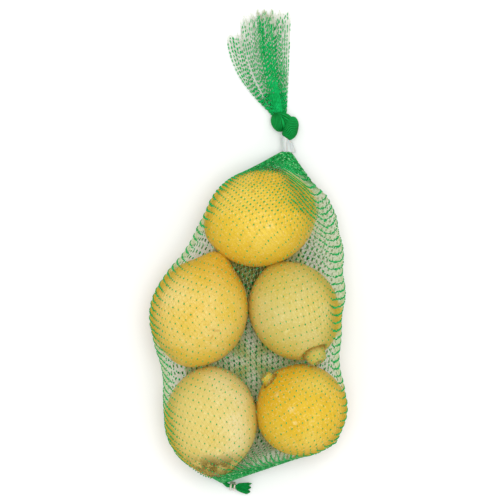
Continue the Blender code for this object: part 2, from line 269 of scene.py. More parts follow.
def grid_faces(rows, columns, wrap=False):
    """Quads over a grid of points, rows by columns, joined round the columns when wrap is set."""
    row, column = np.meshgrid(np.arange(rows - 1), np.arange(columns - (not wrap)), indexing="ij")
    across = (column + 1) % columns
    quads = np.stack([row * columns + column, row * columns + across,
                      (row + 1) * columns + across, (row + 1) * columns + column], axis=-1)
    return quads.reshape(-1, 4)


def store(obj, name, values):
    """Keeps one number for each point, which the material reads."""
    layer = obj.data.attributes.new(name, "FLOAT", "POINT")
    layer.data.foreach_set("value", np.asarray(values, np.float32))


def run_along(line):
    """How far along a line each of its points lies."""
    return np.concatenate([[0.0], np.cumsum(np.linalg.norm(np.diff(line, axis=0), axis=1))])


def read_off(line, measures, wanted):
    """The points of a line at which its measure takes the wanted values."""
    return np.column_stack([np.interp(wanted, measures, part) for part in line.T])


def ball_ways(polar, columns):
    """Rings of directions round +X, with the polar angle and the azimuth of each."""
    azimuth = np.arange(columns) * 2 * math.pi / columns
    p, a = np.meshgrid(polar, azimuth, indexing="ij")
    ways = np.stack([np.cos(p), np.sin(p) * np.cos(a), np.sin(p) * np.sin(a)], axis=-1)
    return ways.reshape(-1, 3), p, a


def tubes(starts, ends, normals, radii, sides=TUBE_SIDES):
    """Straight tubes from starts to ends, as points and quads. radii is (at the start, at the end)."""
    along = unit(ends - starts)
    across = unit(np.cross(along, normals))
    out = np.cross(across, along)
    angles = np.arange(sides) * 2 * math.pi / sides
    shape = across[:, None] * np.cos(angles)[None, :, None] + out[:, None] * np.sin(angles)[None, :, None]
    points = np.stack([starts[:, None] + shape * radii[0], ends[:, None] + shape * radii[1]], axis=1)
    base = np.arange(len(starts))[:, None] * 2 * sides
    side = np.arange(sides)[None]
    after = (side + 1) % sides
    quads = np.stack([base + side, base + after, base + sides + after, base + sides + side], axis=-1)
    return points.reshape(-1, 3), quads.reshape(-1, 4)


def beads(middles, along, normals, half_widths, half_lengths, sides=BEAD_SIDES):
    """Small spindles along each direction, as points and triangles."""
    along = unit(along)
    across = unit(np.cross(along, normals))
    out = np.cross(across, along)
    depths = np.minimum(half_widths, STITCH[0] * 1.4) * 0.8
    profile = ((-0.6, 0.95), (0.6, 0.95))
    count = len(middles)
    points = np.empty((count, 2 + 2 * sides, 3))
    points[:, 0] = middles - along * half_lengths[:, None]
    points[:, 1] = middles + along * half_lengths[:, None]
    angles = np.arange(sides) * 2 * math.pi / sides
    for ring, (place, size) in enumerate(profile):
        for side, angle in enumerate(angles):
            lift = (across * (math.cos(angle) * half_widths * size)[:, None]
                    + out * (math.sin(angle) * depths * size)[:, None])
            middle = middles + along * half_lengths[:, None] * place
            points[:, 2 + ring * sides + side] = middle + lift
    faces = []
    for side in range(sides):
        after = (side + 1) % sides
        low, low_after = 2 + side, 2 + after
        high, high_after = 2 + sides + side, 2 + sides + after
        faces += [(0, low_after, low), (low, low_after, high_after)]
        faces += [(low, high_after, high), (1, high, high_after)]
    faces = np.array(faces)[None] + (np.arange(count) * points.shape[1])[:, None, None]
    return points.reshape(-1, 3), faces.reshape(-1, 3)


# ---------------------------------------------------------------- the filled net's surface, as in the frame

def lemon_turn(lemon):
    return turn_z(lemon.heading) @ turn_y(lemon.tilt)


def lemon_half(lemon):
    return np.array([lemon.length * LEMON_LENGTH, lemon.width * LEMON_WIDTH, lemon.width * LEMON_WIDTH]) / 2


def lemon_middle(lemon):
    turn = lemon_turn(lemon)
    spread = turn @ np.diag(lemon_half(lemon)**2) @ turn.T
    return np.array([lemon.x, lemon.y, math.sqrt(spread[2, 2]) - PRESS])


def ball(middle, radius):
    return Blob(np.array(middle), np.eye(3) * radius**2)


def lemon_blobs(lemon):
    """What the netting meets of a lemon: its body and a ball at each end."""
    turn = lemon_turn(lemon)
    half = lemon_half(lemon)
    middle = lemon_middle(lemon)
    body = half.copy()
    body[0] -= NUB_RADIUS * 0.35
    blobs = [Blob(middle, turn @ np.diag(body**2) @ turn.T)]
    for end in (-1, 1):
        blobs.append(ball(middle + turn @ (end * (half[0] - NUB_RADIUS), 0.0, 0.0), NUB_RADIUS))
    return blobs


def outline(blob, across, samples=40):
    """The blob's outline seen across the plane of +Y and the way across, on its outward side: (y, reach)."""
    angles = np.linspace(0.0, math.pi, samples)
    heading = np.outer(np.cos(angles), (0.0, 1.0, 0.0)) + np.outer(np.sin(angles), across)
    pushed = heading @ blob.spread
    edge = blob.middle + pushed / np.sqrt((pushed * heading).sum(axis=1))[:, None]
    return np.column_stack([edge[:, 1], edge @ across])


def taut(points):
    """The line that a thread takes over the points, from the lowest y to the highest."""
    order = points[np.lexsort((points[:, 1], points[:, 0]))]
    line = []
    for point in order:
        while len(line) > 1:
            first, last = line[-2], line[-1]
            step, ahead = last - first, point - first
            if step[0] * ahead[1] - step[1] * ahead[0] < 0:
                break
            line.pop()
        line.append(point)
    return np.array(line)


def waist(line, outlines, stations):
    """How far the netting sinks below its taut line between one blob and the next."""
    fine = np.arange(line[0, 0], line[-1, 0], WAIST_STEP)
    straight = np.interp(fine, line[:, 0], line[:, 1])
    fruit = np.max([np.interp(fine, *taut(edge).T, left=-1, right=-1) for edge in outlines], axis=0)
    sink = np.minimum(WAIST * (straight - fruit), MOST_WAIST)
    blur = np.hanning(WAIST_BLUR + 2)
    sink = np.convolve(sink, blur / blur.sum(), mode="same")
    ease = clamp(np.minimum(fine - fine[0], fine[-1] - fine) / WAIST_EASE)
    return np.interp(stations, fine, sink * ease)


def reach(groups, across, stations):
    """How far the netting stands out along across at each station: taut over each group, less its waist."""
    facing = min(max((across[2] + 0.9) / 0.6, 0.0), 1.0)
    found = np.full(len(stations), -np.inf)
    for group in groups:
        outlines = [outline(blob, across) for blob in group]
        line = taut(np.vstack(outlines))
        inside = (stations >= line[0, 0]) & (stations <= line[-1, 0])
        taken = np.interp(stations, line[:, 0], line[:, 1]) - facing * waist(line, outlines, stations)
        found[inside] = np.maximum(found[inside], taken[inside])
    return found


def outline_round(points, count):
    """Points an equal distance apart round the convex outline of XZ points, from under its middle."""
    upper = taut(points)
    lower = taut(points * (1, -1)) * (1, -1)
    closed = np.vstack([lower, upper[::-1]])
    run = run_along(closed)
    middle = (lower[0, 0] + lower[-1, 0]) / 2
    start = np.interp(middle, lower[:, 0], run[:len(lower)])
    wanted = (start + np.linspace(0.0, run[-1], count, endpoint=False)) % run[-1]
    return read_off(closed, run, wanted)


def net_groups():
    """The groups of blobs that the netting is drawn taut over, from the top gather to the base gather."""
    top, left, right, low_left, low_right = [lemon_blobs(lemon) for lemon in LEMONS]
    folds = [ball(fold[:3], fold[3]) for fold in FOLDS]
    return (
        [ball(TOP_GATHER, TOP_GATHER_RADIUS)] + top + folds[:2],
        top + left + right + folds,
        left + right + low_left + low_right,
        low_left + low_right + [ball(BASE_GATHER, BASE_GATHER_RADIUS)],
    )


def net_surface():
    """Rings of points over the filled net, from the base to the top: (rings, points round, 3)."""
    lowest = BASE_GATHER[1] - 0.6 * BASE_GATHER_RADIUS
    highest = TOP_GATHER[1] + 0.6 * TOP_GATHER_RADIUS
    share = (1 - np.cos(np.linspace(0.0, math.pi, RINGS_ALONG))) / 2
    stations = lowest + (highest - lowest) * share
    groups = net_groups()
    step = 2 * math.pi / DIRECTIONS
    angles = np.arange(DIRECTIONS) * step
    ways = [np.array([math.cos(angle), 0.0, math.sin(angle)]) for angle in angles]
    reaches = np.array([reach(groups, way, stations) for way in ways])
    rings = np.empty((RINGS_ALONG, SIDES_AROUND, 3))
    for ring, (station, here) in enumerate(zip(stations, reaches.T)):
        ahead = np.roll(here, -1)
        slide = (ahead - here * math.cos(step)) / math.sin(step)
        corners = np.column_stack([
            here * np.cos(angles) - slide * np.sin(angles),
            here * np.sin(angles) + slide * np.cos(angles),
        ])
        flat = outline_round(corners, SIDES_AROUND)
        rings[ring] = np.column_stack([flat[:, 0], np.full(SIDES_AROUND, station), flat[:, 1]])
    rings[..., 2] = np.maximum(rings[..., 2], LOWEST)
    return rings


# ---------------------------------------------------------------- knitting on the surface

def wale_places(stations):
    """Where round the net each wale lies at each station: wales crowd together where the netting is slack."""
    places = np.linspace(0.0, 1.0, PLACES_ROUND + 1)
    found = np.empty((len(stations), WALES))
    for row, station in enumerate(stations):
        crowd = np.ones(len(places))
        for middle, breadth, more, low, high in SLACK:
            here = clamp((min(station - low, high - station) + SLACK_EASE) / (2 * SLACK_EASE))
            crowd += more * here * np.exp(-((places - middle) / breadth)**2)
        total = np.concatenate([[0.0], np.cumsum((crowd[1:] + crowd[:-1]) / 2)])
        phase = (np.arange(WALES) / WALES + TWIST * row / (len(stations) - 1)) % 1.0
        found[row] = np.interp(phase, total / total[-1], places)
    return found


def wale_line(rings, place):
    """One wale as points on the rings, from its place round each of them."""
    column = place * SIDES_AROUND
    low = np.floor(column).astype(int) % SIDES_AROUND
    part = (column - np.floor(column))[:, None]
    row = np.arange(len(rings))
    return rings[row, low] * (1 - part) + rings[row, (low + 1) % SIDES_AROUND] * part


def course_heights():
    """How high a course lies at places round the net, from -1 to 1: a scalloped wave, lowest on the right."""
    places = np.arange(PLACES_ROUND) / PLACES_ROUND
    low, high = COURSE_ENDS
    front = clamp((high - places) / (high - low))
    back = ((places - high) % 1.0) / (1 - high + low)
    in_front = (places >= low) & (places <= high)
    heights = np.where(in_front, 1 - 2 * front**COURSE_BEND, np.cos(math.pi * back))
    blur = np.hanning(2 * COURSE_BLUR + 1)
    round_and_on = np.concatenate([heights[-COURSE_BLUR:], heights, heights[:COURSE_BLUR]])
    return np.convolve(round_and_on, blur / blur.sum(), mode="valid")


def course_at(share, place, heights):
    """The course that passes a wale at this share of its length."""
    level = np.interp(share, *np.transpose(GATHERED))
    ease = clamp(np.minimum(share, 1 - share) / FALL_EASE)
    ease = ease * ease * (3 - 2 * ease)
    height = np.interp(place, np.arange(PLACES_ROUND) / PLACES_ROUND, heights, period=1.0)
    return COURSES * (level - COURSE_FALL * ease * height)


def knit(rings):
    """The stitches: (wales, courses, 3)."""
    stitches = np.empty((WALES, COURSES, 3))
    heights = course_heights()
    for wale, place in enumerate(wale_places(rings[:, 0, 1]).T):
        line = wale_line(rings, place)
        run = run_along(line)
        course = np.maximum.accumulate(course_at(run / run[-1], place, heights))
        stitches[wale] = read_off(line, course, np.arange(COURSES) + 0.5)
    return stitches


def directions(stitches):
    """Each stitch's direction along its wale, and the way out of the net."""
    along = np.gradient(stitches, axis=1)
    around = np.roll(stitches, -1, axis=0) - np.roll(stitches, 1, axis=0)
    return unit(along), unit(np.cross(along, around))


def gathered(points, gathers, spread=GATHER_GREEN):
    """1 where the netting is drawn together at one of the gathers, 0 away from them."""
    away = np.min([np.linalg.norm(points - gather, axis=-1) for gather in gathers], axis=0)
    return clamp(1.6 - away / spread)


def drawn(points):
    """1 where the net is drawn thick, at its gathers and along the seams from them, 0 where it is open."""
    found = gathered(points, (TOP_GATHER, BASE_GATHER))
    for start, end in SEAMS:
        seam = np.array(end) - start[:2]
        from_start = points[..., :2] - start[:2]
        along = clamp(from_start @ seam / (seam @ seam))
        away = np.linalg.norm(from_start - along[..., None] * seam, axis=-1)
        found = np.maximum(found, clamp(1.7 - 0.7 * along - away / SEAM_BREADTH))
    return found


def slackness(stitches):
    """0 where wales lie far apart, 1 where they crowd together."""
    spacing = np.linalg.norm(np.roll(stitches, -1, axis=0) - stitches, axis=2)
    low, high = SLACK_SPACING
    return clamp((high - spacing) / (high - low))


def stitch_sizes(stitches, out):
    """Half widths and half lengths: small where taut, wide where wales crowd, long underneath."""
    close = drawn(stitches)
    slack = slackness(stitches)
    under = clamp(-2 * out[..., 2]) * (1 - slack)
    sizes = []
    for least, slackest, lowest, closest in zip(STITCH, SLACK_STITCH, UNDER_STITCH, GATHER_STITCH):
        size = least + (slackest - least) * slack + (lowest - least) * under
        size = size + (closest - size) * close
        uneven = RANDOM.normal(0.0, 0.16, slack.shape) - slack * RANDOM.uniform(0.0, 0.55, slack.shape)
        sizes.append(size * np.maximum(1 + uneven, 0.3))
    return sizes


def net_knots(stitches, along, out, material):
    """A green stitch at each crossing of a wale and a course."""
    widths, lengths = stitch_sizes(stitches, out)
    shape = stitches.shape[:2]
    slack = slackness(stitches)[..., None]
    stray = 0.00008 * (2 + slack) * RANDOM.normal(0.0, 1.0, (*shape, 1)) * along
    swing = 0.20 * (1 + slack) * RANDOM.normal(0.0, 1.0, (*shape, 1)) * np.cross(along, out)
    middles = stitches + out * 0.0002 + stray
    points, faces = beads(middles.reshape(-1, 3), (along + swing).reshape(-1, 3), out.reshape(-1, 3),
                          widths.ravel(), lengths.ravel())
    piece = mesh_piece("net_stitches", points, faces, material)
    store(piece, "gathered", drawn(points))
    under = clamp(-4 * out[..., 2] - 2)
    store(piece, "under", np.repeat(under.ravel(), 2 + 2 * BEAD_SIDES))
    return piece


def net_threads(stitches, out, material):
    """The pale yarn: one thread along each wale, and slanting threads from each stitch to the next wale's."""
    after = np.roll(stitches, -1, axis=0)
    starts = [stitches[:, :-1], stitches[:, :-1], stitches[:, 1:]]
    ends = [stitches[:, 1:], after[:, 1:], after[:, :-1]]
    normals = [out[:, :-1], out[:, :-1], out[:, 1:]]
    starts, ends, normals = [np.concatenate(each).reshape(-1, 3) for each in (starts, ends, normals)]
    spacing = np.linalg.norm(after - stitches, axis=2)[:, :-1]
    loose = np.clip((SLACK_SPACING[1] - spacing) / SLACK_SPACING[1], 0.0, 0.6)
    under = clamp(-8 * out[:, :-1, 2] - 6.8)
    radius = THREAD_RADIUS * (1 + 1.3 * loose + 1.2 * under)
    radius = np.tile(radius.reshape(-1, 1, 1), (3, 1, 1))
    points, faces = tubes(starts, ends, normals, (radius, radius))
    piece = mesh_piece("net_threads", points, faces, material)
    store(piece, "gathered", drawn(points))
    touching = clamp(1.5 - from_peels(points)[0] / 0.002)
    above = clamp(0.5 - from_peels(points, level=True)[0] / 0.0008)
    store(piece, "on_fruit", np.maximum(touching, above))
    store(piece, "under", np.repeat(np.tile(under.ravel(), 3), 2 * TUBE_SIDES))
    return piece


def shade_and_yarn_sheet(rings, material):
    """The underside's finest yarn, too thin to draw singly, as a sheet in the gaps between the fruit,
    coloured with painted shade that is darkest by the peel.
    """
    points = rings[:, ::2].copy()
    nearest, _, third = from_peels(points, level=True)[:3]
    shown = (nearest > -0.0045) & (points[..., 2] < VEIL_HEIGHT)
    # How clear of the fruit each point lies, which sets how dark the painted shade on the sheet is.
    clear = nearest / 0.020 + np.clip((third - 0.014) / 0.012, 0.0, 0.65)
    points[..., 2] = np.maximum(points[..., 2] - 0.0002, 0.0004)
    quads = grid_faces(*points.shape[:2], wrap=True)
    quads = quads[shown.ravel()[quads].all(axis=1)]
    used, quads = np.unique(quads, return_inverse=True)
    piece = mesh_piece("shade_and_yarn_sheet", points.reshape(-1, 3)[used], quads.reshape(-1, 4), material)
    store(piece, "clear", clamp(clear.ravel()[used]))
    return piece


# ---------------------------------------------------------------- tail

def tail_tip(share):
    """The tip of the rib at this share of the way across the fan, from its left edge to its right."""
    fold = min(int(share * len(TAIL_TIPS)), len(TAIL_TIPS) - 1)
    first, last = np.array(TAIL_TIPS[fold])
    return first + (last - first) * (share * len(TAIL_TIPS) - fold)


def spread_out(share):
    """Ribs lie far apart at the fan's left, close right of its middle, and a little apart at its right."""
    return 0.693 + 0.45 * (share - 0.6) + 1.96 * (share - 0.6)**3


def tail_fold(wale):
    """A wale of the folded tail: its places across the root and the fan, and its height in the stack."""
    places, heights, counts = np.transpose(TAIL_PATH)
    across = np.interp(wale, counts, places)
    height = np.interp(wale, counts, heights)
    return across, min(max(spread_out(across), 0.0), 1.0), height


def tail_place(wale, run):
    """A point on the folded tail: wale counts round the netting, run goes from the knot to the tips."""
    across, share, height = tail_fold(wale)
    root = np.array(TAIL_ROOT) + ((across - 0.5) * TAIL_ROOT_WIDTH, 0.0)
    x, y = root + (tail_tip(share) - root) * run
    x -= TAIL_BOW * (1 - share) * math.sin(math.pi * min(run, 1.0))
    thick = TAIL_HEIGHT[0] + (TAIL_HEIGHT[1] - TAIL_HEIGHT[0]) * run
    middle = 1.0 - 0.55 * abs(2 * share - 1)**2
    wave = TAIL_RUFFLE * run * math.sin(wale * 0.9 + 2.2 * run)
    return np.array([x, y, 0.0007 + thick * height * middle + abs(wave)])


def tail_end(wale):
    """How far a wale reaches: the netting is torn into points all across the fan."""
    share = tail_fold(wale)[1]
    tooth = 1 - abs((share * TAIL_TEETH + 0.04 * wale / WALES) % 1.0 - 0.5) * 2
    return 1.0 - TAIL_TOOTH * (1 - tooth**1.3)


def tail_wale(wale, end):
    return np.array([tail_place(wale, run) for run in np.linspace(0.0, end, TAIL_POINTS)])


def tail_stitches(material):
    """Rows of green dashes, out of step from wale to wale at the fan's left and sparse near its torn end."""
    random = np.random.default_rng(6)
    middles, along, widths, lengths = [], [], [], []
    for wale in range(WALES):
        line = tail_wale(wale, tail_end(wale))
        share = tail_fold(wale)[1]
        run = run_along(line)
        spots = np.arange(0.0, run[-1] - 0.0005, TAIL_COURSE)
        astray = 0.06 + 0.34 * min(share * 2.2, 1.0)
        spots = spots + TAIL_COURSE * (random.normal(0.4, astray) + random.normal(0.0, 0.08, len(spots)))
        bare = clamp((spots / run[-1] - 0.74) / 0.25) * 0.65 * min(share * 2.5, 1.0)
        kept = random.uniform(0.0, 1.0, len(spots)) > bare
        spots = spots[(spots > 0) & (spots < run[-1]) & kept]
        here = read_off(line, run, spots)
        ahead = read_off(line, run, spots + 0.0005)
        middles.append(here + (0.0, 0.0, 0.0003))
        along.append(ahead - here + random.normal(0.0, 0.00006, here.shape))
        crowd = min(max((share - 0.25) / 0.3, 0.0), 1.0)
        widths.append(TAIL_STITCH[0] * (1 - 0.25 * crowd) * random.uniform(0.8, 1.2, len(here)))
        lengths.append(TAIL_STITCH[1] * (1 + 0.20 * crowd) * random.uniform(0.7, 1.35, len(here)))
    sizes = np.concatenate(widths), np.concatenate(lengths)
    points, faces = beads(np.vstack(middles), np.vstack(along), UP, *sizes)
    return mesh_piece("tail_stitches", points, faces, material)


def tail_threads(material):
    """The tail's pale yarn: each wale's thread, frayed past the last stitch, and links between wales."""
    random = np.random.default_rng(7)
    lines = []
    for wale in range(WALES):
        line = tail_wale(wale, tail_end(wale) + 0.03)
        line[-1, :2] += random.normal(0.0, 0.0006, 2)
        lines.append(line)
    starts = [line[:-1] for line in lines * 2]
    ends = [line[1:] for line in lines + lines[1:] + lines[:1]]
    points, faces = tubes(np.vstack(starts), np.vstack(ends), UP, (THREAD_RADIUS, THREAD_RADIUS))
    piece = mesh_piece("tail_threads", points, faces, material)
    store(piece, "gathered", gathered(points[:, :2], (TAIL_ROOT,), 1.6 * GATHER_GREEN))
    return piece


def tail_veil(material):
    """The flattened yarn between the stitches: a thin folded sheet with torn points along its end."""
    columns = VEIL_COLUMNS * WALES
    points = np.empty((VEIL_ROWS, columns, 3))
    for column in range(columns):
        wale = column / VEIL_COLUMNS
        end = tail_end(wale) - 0.012 - 0.03 * abs(wale % 1.0 - 0.5)
        for row, run in enumerate(np.linspace(0.22, end, VEIL_ROWS)):
            points[row, column] = tail_place(wale, run)
    return mesh_piece("tail_veil", points.reshape(-1, 3), grid_faces(VEIL_ROWS, columns, wrap=True), material)


# ---------------------------------------------------------------- knot, neck and base

def wound_lobe(number, lobe):
    """A lobe of the knot: an egg ridged by the strands drawn over it, as points, faces and ridge heights."""
    offset, half, heading, strands, slant = lobe
    ways, p, a = ball_ways(np.linspace(0.0, math.pi, LOBE_RINGS), LOBE_SIDES)
    wander = 0.16 * np.sin(5 * a + 3 * p + number) + 0.22 * np.sin(3 * a + 2 * p + number) + slant * p
    ridge = np.abs(np.sin((a + wander * 0.5) * strands / 2)).ravel() * np.sqrt(np.sin(p)).ravel()
    size = 0.97 * (0.93 + 0.09 * ridge + 0.04 * lumps(ways, 20 + number))
    points = ways * np.array(half) * size[:, None]
    points = points @ turn_z(heading).T + np.array(KNOT) + offset
    return points, grid_faces(LOBE_RINGS, LOBE_SIDES, wrap=True), ridge


def knot(material):
    points, faces, ridges = zip(*[wound_lobe(number, lobe) for number, lobe in enumerate(KNOT_LOBES)])
    faces = [quads + number * len(points[0]) for number, quads in enumerate(faces)]
    piece = mesh_piece("knot", np.vstack(points), np.vstack(faces), material)
    store(piece, "ridge", np.concatenate(ridges))
    return piece


def rope(name, path, radii, strands, twist, material, sides=48):
    """A bundle of strands along a path: its section has one bulge for each strand, and turns as it goes."""
    path = np.asarray(path, float)
    along = unit(np.gradient(path, axis=0))
    across = unit(np.cross(along, UP))
    up = np.cross(across, along)
    angles = np.arange(sides) * 2 * math.pi / sides
    points, ridges = [], []
    for index, (middle, side, lift) in enumerate(zip(path, across, up)):
        turn = twist * index / (len(path) - 1)
        ridge = np.abs(np.sin(strands / 2 * (angles + turn)))
        size = radii[index] * (0.88 + 0.14 * ridge)
        outward = side * (size * np.cos(angles))[:, None]
        points.append(middle + outward + lift * (size * np.sin(angles))[:, None])
        ridges.append(ridge)
    piece = mesh_piece(name, np.vstack(points), grid_faces(len(path), sides, wrap=True), material)
    store(piece, "ridge", np.concatenate(ridges))
    return piece


def neck_middle(share):
    """On the neck's middle line: 0 at the top gather, 1 at the knot."""
    return np.array(TOP_GATHER) + (np.array(KNOT) - TOP_GATHER) * share


def neck(material):
    """The drawn netting from the bag to the knot, broader where it leaves the bag."""
    share = np.linspace(-0.10, 1.0, 30)[:, None]
    path = neck_middle(share)
    radii = NECK_RADIUS * (1 + 0.9 * np.clip(0.15 - share[:, 0], 0, 1) * 4)
    return rope("neck", path, radii, 16, 1.2, material)


def neck_strip(material):
    """A strip of film round the neck: creased, cut aslant at the top and flared at its loose corner."""
    rows, sides = 26, 96
    angles = np.arange(sides) * 2 * math.pi / sides
    share = (np.linspace(*BAND_ENDS, rows) - TOP_GATHER[1]) / (KNOT[1] - TOP_GATHER[1])
    shells = []
    for wall in (BAND_WALL, 0.0):
        shell = np.empty((rows, sides, 3))
        for row in range(rows):
            run = row / (rows - 1)
            middle = neck_middle(share[row])
            crease = 0.00018 * np.sin(angles * 8 + 1.3) + 0.00012 * np.sin(angles * 15 + 4 * run)
            size = NECK_RADIUS + 0.0004 + wall + crease
            loose = BAND_FLARE[0] + (BAND_FLARE[1] - BAND_FLARE[0]) * (1 - run)
            shell[row, :, 0] = middle[0] + size * np.cos(angles) + loose * (1 + np.cos(angles)) / 2
            shell[row, :, 1] = middle[1] + BAND_SLANT * run * (1 - np.cos(angles)) / 2
            shell[row, :, 2] = middle[2] + size * np.sin(angles)
        shells.append(shell)
    points = np.vstack([shells[0], shells[1][::-1]])
    closed = np.vstack([points, points[:1]]).reshape(-1, 3)
    return mesh_piece("neck_strip", closed, grid_faces(2 * rows + 1, sides, wrap=True), material)


def tuft_ways():
    """The way that the clipped base points, and the way across it."""
    turn = turn_z(TUFT_HEADING)
    return turn[:, 0], turn[:, 1]


def base_neck(material):
    """The drawn netting from the bag's base through the clip."""
    heading, _ = tuft_ways()
    start = np.array(BASE_GATHER) + (-0.003, 0.002, 0.0)
    middle = np.array(CLIP_MIDDLE)
    path = np.vstack([np.linspace(start, middle - 0.0036 * heading, 8), middle, middle + heading * 0.0035])
    return rope("base_neck", path, [0.0013] * len(path), 12, 0.8, material)


def clip(material):
    """A wire staple crimped over the base neck: two legs side by side, joined at the back."""
    heading, side = tuft_ways()
    leg = []
    for degrees in np.linspace(215, 10, 14):
        angle = math.radians(degrees)
        rise = CLIP_REACH * math.sin(angle) * 0.95
        leg.append(side * CLIP_REACH * math.cos(angle) + (0.0, 0.0, rise))
    path = [point - heading * CLIP_LEGS / 2 for point in leg]
    path += [point + heading * CLIP_LEGS / 2 for point in reversed(leg)]
    curve = bpy.data.curves.new("clip", "CURVE")
    curve.dimensions = "3D"
    curve.bevel_depth = CLIP_WIRE
    curve.bevel_resolution = 5
    curve.use_fill_caps = True
    spline = curve.splines.new("POLY")
    spline.points.add(len(path) - 1)
    for point, place in zip(spline.points, path):
        point.co = (*(place + CLIP_MIDDLE), 1.0)
    curve.materials.append(material)
    return linked("clip", curve)


def base_tuft(material):
    """Cut ends of netting beyond the clip: strands that fan out and stop at uneven lengths."""
    random = np.random.default_rng(9)
    starts, ends = [], []
    heading, side = tuft_ways()
    for _ in range(TUFT_STRANDS):
        spread = random.uniform(-1, 1)
        lift = random.uniform(-1, 1)
        length = TUFT_LENGTH * (0.90 + 0.07 * math.sin(8.5 * spread) + random.uniform(-0.13, 0.10))
        previous = np.array(CLIP_MIDDLE) + heading * 0.002 + side * spread * 0.0009
        for run in np.linspace(0.2, 1.0, 5):
            breadth = 0.0009 + (TUFT_WIDTH / 2 - 0.0009) * run**0.45
            here = np.array(CLIP_MIDDLE) + heading * (0.002 + length * run) + side * spread * breadth
            here[2] = max(here[2] + lift * 0.0016 - 0.0016 * run, 0.0003)
            starts.append(previous)
            ends.append(here)
            previous = here + random.normal(0.0, 0.00004, 3)
    points, faces = tubes(np.array(starts), np.array(ends), UP, (0.00022, 0.00020))
    piece = mesh_piece("base_tuft", points, faces, material)
    store(piece, "ridge", np.repeat(random.uniform(0.5, 1.2, len(starts)), 2 * TUBE_SIDES))
    return piece


# ---------------------------------------------------------------- lemons

def lumps(unit_points, seed, count=7):
    """A smooth, slow wave over a ball of directions, near -1 to 1."""
    random = np.random.default_rng(seed)
    total = np.zeros(unit_points.shape[:-1])
    for _ in range(count):
        direction = unit(random.normal(size=3))
        pace = random.uniform(2.0, 5.0)
        total += np.sin(unit_points @ direction * pace + random.uniform(0, 2 * math.pi))
    return total / math.sqrt(count)


def angle_from_nub(lemon, ways):
    """In radians, between each direction in the lemon's own axes and its nub's."""
    return np.arccos(np.clip(ways @ turn_y(lemon.lift)[:, 0], -1.0, 1.0))


def peel_radius(lemon, seed, ways):
    """From the middle of a lemon to its peel along each direction, given in the lemon's own axes."""
    half = lemon_half(lemon) - PEEL_GAP
    half[0] -= 0.6 * max(lemon.nub, lemon.far)
    radius = 1 / np.sqrt(((ways / half)**2).sum(axis=-1))
    from_nub = angle_from_nub(lemon, ways)
    from_far = np.arccos(np.clip(-ways[..., 0], -1.0, 1.0))
    azimuth = np.arctan2(ways[..., 2], ways[..., 1])
    nub = lemon.nub * np.exp(-(from_nub / lemon.nub_spread)**lemon.collar)
    crease = 0.0004 * (lemon.collar - 2) * np.exp(-((from_nub - 1.25 * lemon.nub_spread) / 0.05)**2)
    far = lemon.far * np.exp(-(from_far / FAR_SPREAD)**2)
    ribs = 0.00022 * np.exp(-((from_nub - 0.30) / 0.22)**2) * np.cos(azimuth * 7 + seed)
    dimple = 0.0012 * np.exp(-(from_nub / 0.05)**2) + 0.0008 * np.exp(-(from_far / 0.05)**2)
    return radius + nub + far + ribs - dimple - crease + 0.00035 * lumps(ways, seed)


def lemon_mesh(lemon, seed, material):
    """A lemon, with its rings drawn closer together at both ends, where the nubs turn sharply."""
    polar = np.linspace(0.0, math.pi, LEMON_ALONG)
    ways, _, _ = ball_ways(polar - 0.32 * np.sin(2 * polar), LEMON_AROUND)
    points = ways * peel_radius(lemon, seed, ways)[:, None]
    points = points @ lemon_turn(lemon).T + lemon_middle(lemon)
    points[:, 2] = np.maximum(points[:, 2], PEEL_GAP)
    faces = grid_faces(LEMON_ALONG, LEMON_AROUND, wrap=True)[:, ::-1]
    obj = mesh_piece("lemon_" + lemon.name, points, faces, material)
    store(obj, "from_nub", angle_from_nub(lemon, ways))
    return obj


def from_peels(points, level=False):
    """How far each point lies from each lemon's peel, or from its outline in plan when level is set."""
    found = []
    for seed, lemon in enumerate(LEMONS, 1):
        local = (points - lemon_middle(lemon)) * (1, 1, 0 if level else 1) @ lemon_turn(lemon)
        far = np.linalg.norm(local, axis=-1)
        found.append(far - peel_radius(lemon, seed, local / far[..., None]))
    return np.sort(found, axis=0)


def clear_of_fruit(points):
    """Points inside a lemon's peel, or closer to it than NET_GAP, moved straight out of the fruit."""
    for seed, lemon in enumerate(LEMONS, 1):
        turn = lemon_turn(lemon)
        local = (points - lemon_middle(lemon)) @ turn
        far = np.linalg.norm(local, axis=-1)
        ways = local / far[..., None]
        least = peel_radius(lemon, seed, ways) + NET_GAP
        local = ways * np.maximum(far, least)[..., None]
        moved = local @ turn.T + lemon_middle(lemon)
        inside = (far < least)[..., None] & (points[..., 2:] > 2 * LOWEST)
        points = np.where(inside, moved, points)
    return points


# ---------------------------------------------------------------- materials

